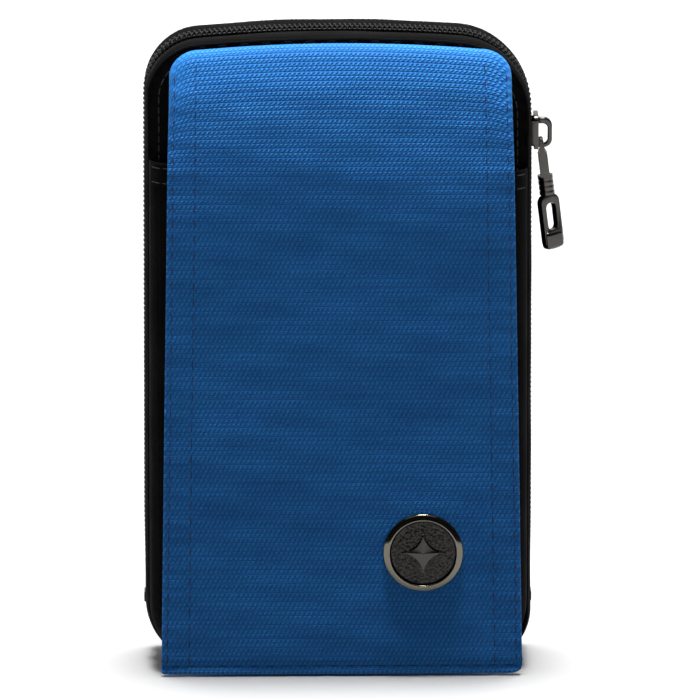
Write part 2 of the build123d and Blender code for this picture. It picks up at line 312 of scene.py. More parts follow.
class Nodes:
    """Builds a material's node tree with short calls."""

    def __init__(self, name):
        self.mat = bpy.data.materials.new(name)
        self.mat.use_nodes = True
        self.tree = self.mat.node_tree
        self.tree.nodes.clear()
        self.out = self.tree.nodes.new("ShaderNodeOutputMaterial")
        self.bsdf = self.tree.nodes.new("ShaderNodeBsdfPrincipled")
        self.tree.links.new(self.bsdf.outputs[0], self.out.inputs[0])

    def put(self, socket, value):
        if isinstance(value, bpy.types.NodeSocket):
            self.tree.links.new(value, socket)
        elif value is not None:
            socket.default_value = value

    def math(self, operation, a, b=None, c=None, clamp=False):
        node = self.tree.nodes.new("ShaderNodeMath")
        node.operation = operation
        node.use_clamp = clamp
        for socket, value in zip(node.inputs, (a, b, c)):
            self.put(socket, value)
        return node.outputs[0]

    def mix(self, factor, a, b):
        node = self.tree.nodes.new("ShaderNodeMix")
        node.data_type = "RGBA"
        self.put(node.inputs[0], factor)
        self.put(node.inputs[6], a)
        self.put(node.inputs[7], b)
        return node.outputs[2]

    def coords(self, kind="Object"):
        node = self.tree.nodes.new("ShaderNodeTexCoord")
        split = self.tree.nodes.new("ShaderNodeSeparateXYZ")
        self.tree.links.new(node.outputs[kind], split.inputs[0])
        return node.outputs[kind], split.outputs

    def noise(self, vector, scale, detail=3.0, rough=0.55):
        node = self.tree.nodes.new("ShaderNodeTexNoise")
        self.put(node.inputs["Vector"], vector)
        node.inputs["Scale"].default_value = scale
        node.inputs["Detail"].default_value = detail
        node.inputs["Roughness"].default_value = rough
        return node.outputs["Fac"]

    def stretched(self, vector, scale):
        node = self.tree.nodes.new("ShaderNodeMapping")
        self.put(node.inputs["Vector"], vector)
        node.inputs["Scale"].default_value = scale
        return node.outputs[0]

    def voronoi(self, vector, scale):
        node = self.tree.nodes.new("ShaderNodeTexVoronoi")
        self.put(node.inputs["Vector"], vector)
        node.inputs["Scale"].default_value = scale
        return node.outputs["Distance"]

    def span(self, value, low, high, to_low, to_high):
        node = self.tree.nodes.new("ShaderNodeMapRange")
        self.put(node.inputs[0], value)
        for socket, number in zip(node.inputs[1:5], (low, high, to_low, to_high)):
            socket.default_value = number
        return node.outputs[0]

    def bump(self, height, strength, distance, normal=None):
        node = self.tree.nodes.new("ShaderNodeBump")
        node.inputs["Strength"].default_value = strength
        node.inputs["Distance"].default_value = distance
        self.put(node.inputs["Height"], height)
        if normal is not None:
            self.put(node.inputs["Normal"], normal)
        return node.outputs[0]

    def finish(self, **values):
        for key, value in values.items():
            self.put(self.bsdf.inputs[key.replace("_", " ")], value)
        return self.mat


def wave(n, value):
    """A rounded ridge, 0 to 1, once per unit of value."""
    return n.math("MULTIPLY_ADD", n.math("COSINE", n.math("MULTIPLY", value, 2 * math.pi)), -0.5, 0.5)


# The flap's weave: slanted floats in rows, every second row a little prouder.
WEAVE_PITCH = 1.35
WEAVE_ROW = 1.37


def blue_weave(name="blue_weave", shaded=(0.0045, 0.062, 0.40, 1), lit=(0.042, 0.37, 1.0, 1)):
    """A field of floats pierced by slanted slits, with a row of raised knots on every second row. Its colour
    holds painted shade in the slits and the gaps between rows, and a painted highlight on the knots and
    floats.
    """
    n = Nodes(name)
    vector, uv = n.coords("UV")
    wobble = n.math("MULTIPLY_ADD", n.noise(vector, 0.3), 0.4, -0.2)
    u = n.math("ADD", n.math("MULTIPLY", uv[0], 1 / WEAVE_PITCH), wobble)
    v = n.math("ADD", n.math("MULTIPLY", uv[1], 1 / WEAVE_ROW), n.math("MULTIPLY", wobble, 0.4))
    yarn = wave(n, n.math("SUBTRACT", u, n.math("MULTIPLY", v, 0.5)))
    row = wave(n, v)
    pair = wave(n, n.math("MULTIPLY", v, 0.5))
    strong = n.math("MULTIPLY_ADD", pair, 0.45, 0.55)
    between = n.math("POWER", n.math("SUBTRACT", 1.0, yarn), 1.3)
    slit = n.math("MULTIPLY", between, n.math("MULTIPLY", row, strong))
    knot = n.math("MULTIPLY", n.math("MULTIPLY", n.math("POWER", yarn, 2.0), row), n.math("POWER", pair, 2.0))
    gap = n.math("POWER", n.math("SUBTRACT", 1.0, row), 3.0)
    ground = n.math("MULTIPLY_ADD", gap, -0.38, n.math("MULTIPLY_ADD", slit, -0.65, 0.78))
    height = n.math("MULTIPLY_ADD", knot, 0.75, ground)
    fibre = n.noise(vector, 5.0, 2.0)
    height = n.math("ADD", height, n.math("MULTIPLY", fibre, 0.12))
    slubs = n.noise(n.stretched(vector, (0.02, 0.75, 1.0)), 1.0, 2.0)
    patchy = n.noise(vector, 0.03, 4.0)
    shade = n.math("MULTIPLY", n.span(slubs, 0.3, 0.7, 0.8, 1.08), n.span(patchy, 0.3, 0.7, 0.88, 1.06))
    # painted light: share gives the knots and raised floats the lit colour as a painted highlight, and the
    # slits and row gaps the shaded colour as painted shade; slubs and patches vary the tone at random
    share = n.math("MULTIPLY", height, shade, clamp=True)
    colour = n.mix(share, shaded, lit)
    normal = n.bump(height, 0.8, 0.0004)
    rough = n.span(height, 0, 1, 0.75, 0.55)
    return n.finish(Base_Color=colour, Roughness=rough, Normal=normal, Sheen_Weight=0.10,
                    Sheen_Roughness=0.35, Sheen_Tint=(0.35, 0.7, 1.0, 1), Specular_IOR_Level=0.22)


def black_weave(name, pitch, base, lit, uneven=0.25, rough=0.8, spec=0.15, sheen=0.05, kind="Object"):
    """A plain weave: two crossed yarns, with creases and rubbed spots."""
    n = Nodes(name)
    vector, xyz = n.coords(kind)
    per = 1 / pitch if kind == "UV" else 1 / (pitch * MM)
    unit = 1.0 if kind == "UV" else 1 / MM
    across = wave(n, n.math("MULTIPLY", xyz[0] if kind == "UV" else n.math("ADD", xyz[0], xyz[1]), per))
    along = wave(n, n.math("MULTIPLY", xyz[1] if kind == "UV" else xyz[2], per))
    height = n.math("MULTIPLY", n.math("POWER", across, 0.6), n.math("POWER", along, 0.6))
    worn = n.noise(vector, 0.06 * unit, 4.0)
    height = n.math("ADD", height, n.math("MULTIPLY", n.noise(vector, 3.0 * unit, 2.0), 0.3))
    # painted highlight on the raised yarn crossings and painted shade between them; the rubbed spots lessen
    # the highlight at random
    colour = n.mix(n.math("MULTIPLY", height, n.span(worn, 0.3, 0.7, 0.5, 1.0)), base, lit)
    creased = n.bump(n.noise(vector, 0.09 * unit, 3.0), uneven, 0.004)
    normal = n.bump(height, 0.5, pitch * 0.3 * MM, creased)
    roughness = n.span(worn, 0.2, 0.8, rough - 0.12, rough + 0.08)
    return n.finish(Base_Color=colour, Roughness=roughness, Normal=normal,
                    Specular_IOR_Level=spec, Sheen_Weight=sheen, Sheen_Roughness=0.5)


def herringbone(name):
    """Woven zipper tape, from the distance along it and across it."""
    n = Nodes(name)
    vector, uv = n.coords("UV")
    zig = n.math("PINGPONG", n.math("MULTIPLY", uv[1], 1 / 1.6), 1.0)
    twill = wave(n, n.math("ADD", n.math("MULTIPLY", uv[0], 1 / 0.7), zig))
    fuzz = n.noise(vector, 4.0, 2.0)
    height = n.math("ADD", twill, n.math("MULTIPLY", fuzz, 0.4))
    # painted shade in the twill's grooves and a painted highlight on its ridges, following the same height as
    # the bump
    colour = n.mix(n.math("MULTIPLY", height, 0.7), (0.002, 0.002, 0.0022, 1), (0.012, 0.012, 0.013, 1))
    return n.finish(Base_Color=colour, Roughness=n.span(fuzz, 0, 1, 0.6, 0.8), Specular_IOR_Level=0.15,
                    Normal=n.bump(height, 0.5, 0.00018))


def nylon(name, base=(0.0016, 0.0016, 0.0018, 1), rough=0.38):
    n = Nodes(name)
    vector, _ = n.coords()
    fine = n.noise(vector, 1400.0, 2.0)
    colour = n.mix(fine, base, tuple(min(1, 2.2 * c) for c in base[:3]) + (1,))
    return n.finish(Base_Color=colour, Roughness=n.span(fine, 0.2, 0.8, rough, rough + 0.15),
                    Normal=n.bump(fine, 0.15, 0.00008), Specular_IOR_Level=0.18)


def metal(name, base, rough, grain=0.05, worn=(0.42, 0.40, 0.37, 1)):
    """Plated metal with faint handling marks and a few rubbed spots."""
    n = Nodes(name)
    vector, _ = n.coords()
    cloud = n.noise(vector, 160.0, 4.0)
    scratch = n.noise(vector, 2600.0, 2.0)
    colour = n.mix(n.span(cloud, 0.55, 0.85, 0.0, 0.35), base, worn)
    return n.finish(Base_Color=colour, Metallic=1.0, Roughness=n.span(cloud, 0.2, 0.8, rough, rough + 0.12),
                    Normal=n.bump(scratch, grain, 0.00004))


def pebbled(name):
    n = Nodes(name)
    vector, _ = n.coords()
    cells = n.voronoi(vector, 1500.0)
    grit = n.math("ADD", cells, n.math("MULTIPLY", n.noise(vector, 3200.0, 3.0), 0.6))
    colour = n.mix(n.span(grit, 0.2, 1.0, 0.0, 1.0), (0.004, 0.004, 0.004, 1), (0.035, 0.034, 0.032, 1))
    return n.finish(Base_Color=colour, Metallic=1.0, Roughness=n.span(grit, 0.2, 1.1, 0.45, 0.25),
                    Normal=n.bump(grit, 0.25, 0.0001))


def thread(name, base, lit):
    n = Nodes(name)
    vector, _ = n.coords()
    twist = n.noise(vector, 2400.0, 2.0)
    return n.finish(Base_Color=n.mix(twist, base, lit), Roughness=n.span(twist, 0, 1, 0.5, 0.75),
                    Normal=n.bump(twist, 0.4, 0.0001), Sheen_Weight=0.1)


def pile(name):
    """Hook-and-loop: dense short fibres."""
    n = Nodes(name)
    vector, _ = n.coords()
    tuft = n.math("ADD", n.voronoi(vector, 1600.0), n.noise(vector, 3000.0, 3.0))
    return n.finish(Base_Color=n.mix(tuft, (0.004, 0.004, 0.005, 1), (0.03, 0.03, 0.032, 1)),
                    Roughness=n.span(tuft, 0, 1.5, 0.95, 0.75), Normal=n.bump(tuft, 0.9, 0.0006),
                    Sheen_Weight=0.25)


def foam(name):
    n = Nodes(name)
    vector, _ = n.coords()
    cells = n.voronoi(vector, 1300.0)
    return n.finish(Base_Color=n.mix(cells, (0.03, 0.03, 0.034, 1), (0.11, 0.11, 0.12, 1)),
                    Roughness=n.span(cells, 0, 1, 0.95, 0.8), Normal=n.bump(cells, 0.6, 0.0003))


BLUE = blue_weave()
BLACK = black_weave("black_nylon", 0.55, (0.0006, 0.0006, 0.0007, 1), (0.0045, 0.0045, 0.0052, 1),
                    spec=0.06, sheen=0.0)
LINING = black_weave("lining_cloth", 0.35, (0.008, 0.008, 0.009, 1), (0.032, 0.032, 0.035, 1),
                     rough=0.65, spec=0.25)
WEBBING = black_weave("webbing", 1.1, (0.002, 0.002, 0.002, 1), (0.016, 0.016, 0.017, 1),
                      rough=0.75, spec=0.2)
TAPE = herringbone("zipper_tape_cloth")
NYLON = nylon("coil_nylon")
GUNMETAL = metal("gunmetal", (0.075, 0.072, 0.068, 1), 0.16, worn=(0.24, 0.23, 0.21, 1))
BEZEL = metal("badge_metal", (0.15, 0.14, 0.115, 1), 0.06, grain=0.02, worn=(0.2, 0.185, 0.16, 1))
STAR = metal("badge_star", (0.06, 0.057, 0.052, 1), 0.14, worn=(0.1, 0.095, 0.09, 1))
DISC = pebbled("badge_hammered")
DARK_STEEL = metal("dark_steel", (0.02, 0.02, 0.02, 1), 0.35, worn=(0.06, 0.06, 0.06, 1))
STEEL = metal("plain_steel", (0.4, 0.4, 0.41, 1), 0.28)
BLUE_THREAD = thread("blue_thread", (0.004, 0.010, 0.055, 1), (0.012, 0.028, 0.13, 1))
BLACK_THREAD = thread("black_thread", (0.0015, 0.0015, 0.0016, 1), (0.008, 0.008, 0.009, 1))
PILE = pile("hook_and_loop")
FOAM = foam("foam")
BOARD = nylon("stiffener_board", (0.35, 0.35, 0.34, 1), 0.5)


def dress(node, material):
    """Gives a CAD node that keeps its shape its finished material."""
    mesh = frame["nodes"][node].data
    mesh.materials.clear()
    mesh.materials.append(material)


# ---- the flap ----

FLAP_TOP_HALF = 49.2
FLAP_BOTTOM_HALF = 52.0
FLAP_FABRIC = 0.8
STITCH = 4.5
HEM_STITCH = 1.8           # from the side edges
INNER_STITCH = 8.0
BOTTOM_STITCH = 2.6
FLAP_TOP_ROUND = 7.5       # radius of the two top corners
FLAP_FOOT_LEFT = 1.2       # radii of the two bottom corners
FLAP_FOOT_RIGHT = 3.6


def curve_through(points, count):
    """A smooth curve through listed points, resampled evenly by length."""
    p = np.array([2 * np.array(points[0]) - np.array(points[1]), *points,
                  2 * np.array(points[-1]) - np.array(points[-2])], float)
    dense = []
    for i in range(1, len(p) - 2):
        t = np.linspace(0, 1, 40, endpoint=False)[:, None]
        a, b, c, d = p[i - 1:i + 3]
        dense.append(0.5 * (2 * b + (c - a) * t + (2 * a - 5 * b + 4 * c - d) * t ** 2
                            + (3 * b - 3 * c + d - a) * t ** 3))
    dense = np.vstack([*dense, p[-2:-1]])
    along = lengths(dense)
    even = np.linspace(0, along[-1], count)
    return np.stack([np.interp(even, along, dense[:, k]) for k in range(2)], 1), along[-1]


# (y, z) of the flap's outer face, from the seam over the shoulder and the pocket's hem to its foot.
FLAP_PROFILE = [
    (FLAP_SEAM_Y + 0.9, FLAP_HIGH - 0.1), (FLAP_SEAM_Y - 0.2, FLAP_HIGH + 0.5),
    (FLAP_SEAM_Y - 1.8, FLAP_HIGH - 0.4), (FLAP_SEAM_Y - 3.1, FLAP_HIGH - 2.7),
    (FLAP_SEAM_Y - 4.4, FLAP_HIGH - 6.6), (FLAP_SEAM_Y - 5.7, FLAP_HIGH - 11.5),
    (FLAP_SEAM_Y - 6.8, POCKET_TOP + 18.5), (FLAP_SEAM_Y - 7.7, POCKET_TOP + 9.5),
    (FLAP_SEAM_Y - 8.3, POCKET_TOP + 1.0), (FLAP_SEAM_Y - 8.6, POCKET_TOP - 7.0),
    (FLAP_SEAM_Y - 8.7, POCKET_TOP - 16.0),
    (FLAP_Y - 0.9, 112.0), (FLAP_Y - 0.8, 90.0), (FLAP_Y - 0.5, 60.0),
    (FLAP_Y - 0.3, 36.0), (FLAP_Y - 0.1, 15.0), (FLAP_Y, FLAP_LOW),
]
PROFILE, FLAP_LENGTH = curve_through(FLAP_PROFILE, 400)


def flap_half_width(z):
    return FLAP_TOP_HALF + (FLAP_BOTTOM_HALF - FLAP_TOP_HALF) * (1 - z / FLAP_HIGH)


def flap_point(side, s):
    """A point on the flap's outer face: side is -1 to 1 across it, s the share of its length down it."""
    side, s = np.broadcast_arrays(np.asarray(side, float), np.asarray(s, float))
    spot = np.clip(s, 0, 1) * (len(PROFILE) - 1)
    index = np.arange(len(PROFILE))
    y = np.interp(spot, index, PROFILE[:, 0])
    z = np.interp(spot, index, PROFILE[:, 1])
    half = flap_half_width(z)
    x = side * half
    from_edge = half - np.abs(x)
    off_centre = 0.6 + 0.3 * (1 - np.clip(z / FLAP_HIGH, 0, 1))
    # the top edge follows the crown and is rounded off at its two corners
    drop = x ** 2 / (2 * CROWN_RADIUS)
    past = np.maximum(FLAP_TOP_ROUND - from_edge, 0)
    drop = drop + FLAP_TOP_ROUND - np.sqrt(np.maximum(FLAP_TOP_ROUND ** 2 - past ** 2, 0))
    z = z - drop * ease((z - POCKET_TOP) / (FLAP_HIGH - POCKET_TOP))
    # the two bottom corners: the right one is rounder
    radius = np.where(x > 0, FLAP_FOOT_RIGHT, FLAP_FOOT_LEFT)
    lift = radius - np.sqrt(np.maximum(radius ** 2 - np.maximum(radius - from_edge, 0) ** 2, 0))
    z = z + lift * ease(1 - (z - FLAP_LOW) / 8.0)
    # fabric that lies a little uneven, pressed down along its stitch lines and rolled at its edges
    foot = np.maximum(z - FLAP_LOW, 0)
    seam = 0.30 * np.exp(-((from_edge - HEM_STITCH) / 0.7) ** 2)
    seam = seam + 0.32 * np.exp(-((from_edge - INNER_STITCH) / 0.9) ** 2)
    seam = seam + 0.42 * np.exp(-((foot - BOTTOM_STITCH) / 0.8) ** 2)
    seam = seam + 0.45 * np.clip(1 - from_edge / 1.1, 0, 1) ** 2 + 0.45 * np.clip(1 - foot / 1.1, 0, 1) ** 2
    inside = ease(from_edge / 12.0) * ease(foot / 12.0)
    billow = 0.45 * inside * ripple(x, z, 78.0) + 0.16 * ripple(x, z * 1.6, 21.0, 2.0)
    pucker = 0.10 * np.sin(2 * math.pi * z / STITCH) * np.exp(-(from_edge / 7.0) ** 2)
    crease = 0.16 * np.exp(-((z - POCKET_TOP - 1.0 + 0.02 * x) / 3.4) ** 2)
    crease = crease * (0.6 + 0.4 * ripple(x, 0 * x, 60.0, 1.0))
    out = np.maximum(0.35, ease((FLAP_HIGH - z) / 12.0))
    y = y - out * (billow + pucker + crease) + seam
    return np.stack([x + off_centre, y, z], -1)


def flap_grid(depth, margin):
    """The flap's grid of points, moved inward by depth and in from the side and foot edges by margin.
    Its lines crowd together beside the stitch rows, to hold the channels pressed there."""
    near_edge = [0, 0.35, 0.8, 1.3, 1.8, 2.3, 2.9, 3.7, 4.8, 6.0, 6.9, 7.5, 8.0, 8.5, 9.1, 10.0, 11.3, 13.0]
    gaps = np.concatenate([near_edge, np.linspace(15, FLAP_BOTTOM_HALF, 19)])
    half = 1 - gaps / FLAP_BOTTOM_HALF
    side = (1 - margin / FLAP_BOTTOM_HALF) * np.concatenate([-half, half[-2::-1]])
    near_foot = [0, 0.4, 0.9, 1.5, 2.1, 2.6, 3.1, 3.8, 4.8, 6.2]
    rows = np.concatenate([near_foot, np.linspace(7.8, FLAP_LENGTH, 112)])[::-1]
    s = (1 - rows / FLAP_LENGTH) * (1 - margin / FLAP_LENGTH)
    points = flap_point(side[None, :], s[:, None])
    down = np.gradient(points, axis=0)
    along = np.gradient(points, axis=1)
    normal = np.cross(down, along)
    normal /= np.linalg.norm(normal, axis=2, keepdims=True)
    uv = np.stack([points[..., 0], np.broadcast_to((1 - s[:, None]) * FLAP_LENGTH, points.shape[:2])], -1)
    return points + normal * depth, uv


def across_flap_seam(obj):
    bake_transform(obj)


def stitches(name, surface, runs, body, material=BLUE_THREAD, radius=0.19, proud=0.16, gap=0.16):
    """Rows of thread. surface(a, b) gives a point; a run is a list of (a, b) stations one stitch apart."""
    parts = []
    for run in runs:
        run = np.asarray(run, float)
        for (a0, b0), (a1, b1) in zip(run[:-1], run[1:]):
            t = np.linspace(gap / 2, 1 - gap / 2, 7)
            p = surface(a0 + (a1 - a0) * t, b0 + (b1 - b0) * t)
            lift = proud * np.sin(math.pi * np.linspace(0, 1, 7)) ** 0.5 - radius
            p = p + lift[:, None] * np.array(OUTWARD[body])[None, :]
            thin = radius * (0.55 + 0.45 * np.sin(math.pi * np.linspace(0.08, 0.92, 7)))
            parts.append(tube(p, thin, 6))
    return join_parts(name, parts, material)


OUTWARD = {"flap": (0, -1, 0), "front_shell": (0, -1, 0), "back_shell": (0, 1, 0)}


def build_flap():
    points, uv = flap_grid(0.0, 0.0)
    cover = sheet_mesh("flap_cover_cloth", points, -FLAP_FABRIC, BLUE, uv=uv)
    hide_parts("flap_cover")
    across_flap_seam(cover)
    layers = [("flap_board", FLAP_FABRIC + 0.06, 1.6, 0.35, BOARD, "flap_stiffener", "stiffener"),
              ("flap_lining_cloth", FLAP_FABRIC + 0.5, 0.6, 0.35, LINING, "flap_lining", "black_fabric")]
    for name, depth, margin, thick, material, node, slot in layers:
        points, uv = flap_grid(-depth, margin)
        layer = sheet_mesh(name, points, -thick, material, uv=uv, levels=0)
        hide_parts(node)
        across_flap_seam(layer)
    top_share = 6.0 / FLAP_LENGTH
    low_share = 1 - BOTTOM_STITCH / FLAP_LENGTH
    count = int((low_share - top_share) * FLAP_LENGTH / STITCH)
    down = np.linspace(top_share, low_share, count + 1)
    runs = []
    for inset in (HEM_STITCH, INNER_STITCH):
        for way in (-1, 1):
            z = FLAP_HIGH - down * FLAP_LENGTH
            runs.append(np.stack([way * (1 - inset / flap_half_width(z)), down], 1))
    reach = 1 - HEM_STITCH / FLAP_BOTTOM_HALF
    count = int(2 * reach * FLAP_BOTTOM_HALF / STITCH)
    runs.append(np.stack([np.linspace(-reach, reach, count + 1), np.full(count + 1, low_share)], 1))
    sewn = stitches("flap_stitching", flap_point, runs, "flap")
    across_flap_seam(sewn)


# ---- the two soft half shells; way is 1 for the back half and -1 for the front ----

def ring_rows(profile, way, uneven=0.0, seed=0.0):
    """Rings of points round the outline, one for each (inset, depth) of a section."""
    rows = []
    for inset, depth in profile:
        xz = outline(inset)
        middle = np.array([0.0, HEIGHT / 2])
        out = xz - middle
        out /= np.linalg.norm(out, axis=1, keepdims=True)
        wob = uneven * ripple(xz[:, 0] + 3 * depth, xz[:, 1], 34.0, seed) if uneven else 0.0
        wob = np.broadcast_to(wob, (len(xz),))
        x = xz[:, 0] + out[:, 0] * wob
        z = np.maximum(xz[:, 1] + out[:, 1] * wob, 0.05)
        rows.append(np.stack([x, np.full(len(x), way * depth), z], -1))
    return np.array(rows)


def without_base(points):
    """Leaves out the run along the base, as an open strip from one bottom corner to the other."""
    start = BASE_POINTS
    return points[:, start:OUTLINE_COUNT - BASE_POINTS + 1]


def strip_uv(points):
    along = np.stack([lengths(row) for row in points])
    across = np.stack([lengths(points[:, c]) for c in range(points.shape[1])], 1)
    return np.stack([along, across], -1)


def side_name(way):
    return ("back", "back_shell") if way > 0 else ("front", "front_shell")


GUSSET_PROFILE = [(2.1, 4.4), (1.5, 4.5), (1.1, 4.9), (0.85, 5.6), (0.55, 7.0), (0.42, 8.6), (0.52, 10.2),
                  (0.9, 11.4), (1.5, 12.1)]


def build_gusset(way):
    side, body = side_name(way)
    points = without_base(ring_rows(GUSSET_PROFILE, way, 0.22, way))
    cloth = sheet_mesh(f"{side}_gusset_cloth", points, -0.8 * way, BLACK, uv=strip_uv(points))
    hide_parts(f"{side}_gusset")
    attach(cloth, body)
    line = without_base(ring_rows([(1.05, 5.9)], way))[0]
    sewn = dashes(f"{side}_gusset_stitching", line, 2.6, 0.14, BLACK_THREAD)
    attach(sewn, body)


def dashes(name, line, pitch, radius, material, duty=0.76):
    """Stitches along any polyline in space."""
    along = lengths(line)
    count = int(along[-1] / pitch)
    parts = []
    for k in range(count):
        t = np.linspace((k + (1 - duty) / 2) * pitch, (k + (1 + duty) / 2) * pitch, 5)
        p = np.stack([np.interp(t, along, line[:, i]) for i in range(3)], 1)
        parts.append(tube(p, radius * np.array([0.5, 0.95, 1.0, 0.95, 0.5]), 6))
    return join_parts(name, parts, material)


def panel_points(way, edge, base_y, swell, round_over, uneven, seed):
    """A crowned panel: rings that step in from the seam, then shrink to the middle."""
    rows = []
    middle = np.array([0.0, HEIGHT / 2])
    steps = [0.0, 0.35, 0.9, 1.8, 3.0, 4.6, 6.6, 9.0]
    for step in steps:
        rows.append(outline(edge + step))
    inner = outline(edge + steps[-1])
    for k in np.linspace(1, 0, 26)[1:-1]:
        rows.append(middle + (inner - middle) * k)
    rows = np.array(rows)
    boundary = outline(edge)
    gap = np.array([np.min(np.linalg.norm(r[:, None] - boundary[None, ::3], axis=2), axis=1) for r in rows])
    rounded = np.sqrt(np.clip(1 - (1 - np.clip(gap / 4.5, 0, 1)) ** 2, 0, 1))
    rise = round_over * rounded + swell * ease(gap / 45.0)
    rise = rise + uneven * ease(gap / 14.0) * ripple(rows[..., 0], rows[..., 1], 70.0, seed)
    return np.stack([rows[..., 0], way * (base_y + rise), rows[..., 1]], -1)


def fan(points):
    """Closes the middle of a ringed panel with a point."""
    rows, cols = points.shape[:2]
    faces = grid_faces(rows, cols, True)
    last = (rows - 1) * cols
    faces += [(last + c, last + (c + 1) % cols, rows * cols) for c in range(cols)]
    return faces


def build_panel(way):
    """The padded outer panel, a closed pad that swells between its seams."""
    side, body = side_name(way)
    outer = panel_points(way, 1.9, 12.15, 0.9, 1.1, 0.22, way)
    inner = outer.copy()
    inner[..., 1] = way * np.minimum(np.abs(outer[..., 1]) - 0.5, 12.1)
    rows, cols = outer.shape[:2]
    centre_out = outer[-1].mean(0)[None]
    centre_in = inner[-1].mean(0)[None]
    verts = np.vstack([outer.reshape(-1, 3), centre_out, inner.reshape(-1, 3), centre_in])
    shift = rows * cols + 1
    faces = fan(outer)
    faces += [tuple(i + shift for i in reversed(f)) for f in fan(inner)]
    faces += [(c, (c + 1) % cols, (c + 1) % cols + shift, c + shift) for c in range(cols)]
    pad = new_mesh(f"{side}_panel_pad", verts, faces, BLACK)
    recalc(pad)
    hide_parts(f"{side}_panel")
    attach(pad, body)


def build_edge_roll(way):
    """The turned seam allowance between gusset and panel, with its top stitch."""
    side, body = side_name(way)
    ring = ring_rows([(1.75, 12.45)], way, 0.1, way)[0]
    roll = join_parts(f"{side}_seam_roll", [tube(ring, 0.62, 8, closed=True)], BLACK)
    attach(roll, body)
    line = ring_rows([(4.6, 13.38)], way)[0]
    sewn = dashes(f"{side}_panel_stitching", line, 2.8, 0.15, BLACK_THREAD)
    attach(sewn, body)


def build_tape(way):
    side, body = side_name(way)
    profile = [(2.4, 0.35), (2.38, 1.6), (2.35, 3.2), (2.3, 5.2), (2.4, 7.5)]
    points = without_base(ring_rows(profile, way, 0.06, 2.0))
    parted = ease((SLIDER_HIGH.z - 1 - points[..., 2]) / 8.0) * (points[..., 0] > 0)
    points[..., 1] += way * parted * 0.7 * np.array([1, 0.8, 0.5, 0.1, 0])[:, None]
    keep = points[0, :, 2] > COIL_END - 7.0
    points = points[:, keep]
    cloth = sheet_mesh(f"{side}_zipper_tape", points, -0.5 * way, TAPE, uv=strip_uv(points))
    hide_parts(f"zipper_tape_{side}")
    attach(cloth, body)


COIL_PITCH = 1.44


def build_coil(way):
    """Half of the coil as one continuous spiral of flattened loops round its cord."""
    side, body = side_name(way)
    path = without_base(ring_rows([(1.15, 0.0)], 1))[0]
    path = path[path[:, 2] > COIL_END + 0.3]
    along = lengths(path)
    tangent = np.gradient(path, axis=0)
    tangent /= np.linalg.norm(tangent, axis=1, keepdims=True)
    out = np.cross(tangent, np.array([0.0, 1.0, 0.0]))
    if out[len(out) // 2, 2] < 0:
        out = -out
    per_turn = 12
    count = int(along[-1] / COIL_PITCH * per_turn)
    s = np.linspace(0, along[-1], count)
    centre = np.stack([np.interp(s, along, path[:, i]) for i in range(3)], 1)
    normal = np.stack([np.interp(s, along, out[:, i]) for i in range(3)], 1)
    turn = 2 * math.pi * (s / COIL_PITCH + (0.5 if way > 0 else 0.0))
    reach = 1.5
    centre = centre - normal * 0.45 * ease((50 - centre[:, 2:3]) / 32)
    parted = ease((SLIDER_HIGH.z - 2 - centre[:, 2]) / 7.0) * (centre[:, 0] > 0)
    y = way * (1.42 + 0.72 * parted) + reach * np.sign(np.cos(turn)) * np.abs(np.cos(turn)) ** 0.8 * way * -1
    rise = 0.82 * np.sign(np.sin(turn)) * np.abs(np.sin(turn)) ** 0.7
    points = centre + normal * rise[:, None]
    points[:, 1] = y
    spiral = tube(points, 0.33, 6)
    cord = centre.copy()
    cord[:, 1] = way * (1.6 + 0.72 * parted)
    coil = join_parts(f"{side}_zipper_coil", [spiral, tube(cord[::4], 0.45, 6)], NYLON)
    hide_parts(f"zipper_coil_{side}")
    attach(coil, body)
    edge = without_base(ring_rows([(2.2, 3.35)], way))[0]
    edge = edge[edge[:, 2] > COIL_END]
    edge[:, 1] += way * 0.25 * ease((SLIDER_HIGH.z - 1 - edge[:, 2]) / 8.0) * (edge[:, 0] > 0)
    sewn = dashes(f"{side}_coil_stitching", edge, 1.44, 0.13, BLACK_THREAD, duty=0.7)
    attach(sewn, body)


def build_lining(way):
    """The inside of a half shell: side wall and panel lining in one tray."""
    side, body = side_name(way)
    wall = ring_rows([(3.35, 2.6), (3.3, 5.5), (3.4, 7.6), (4.0, 9.1), (5.2, 9.75)], way, 0.15, 4.0)
    floor = panel_points(way, 6.0, 9.8, -0.25, 0.0, 0.12, 5.0)
    rows = np.concatenate([wall, floor[1:]])
    cols = rows.shape[1]
    inner = rows.copy()
    inner[..., 1] += way * 0.3
    inner[:5, :, 0] *= 1.004
    verts = np.vstack([rows.reshape(-1, 3), rows[-1].mean(0)[None],
                       inner.reshape(-1, 3), inner[-1].mean(0)[None]])
    shift = len(rows) * cols + 1
    faces = fan(rows) + [tuple(i + shift for i in reversed(f)) for f in fan(rows)]
    faces += [(c, (c + 1) % cols, (c + 1) % cols + shift, c + shift) for c in range(cols)]
    cloth = new_mesh(f"{side}_lining_cloth", verts, faces, LINING)
    recalc(cloth)
    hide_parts(f"{side}_lining", f"{side}_gusset_lining")
    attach(cloth, body)


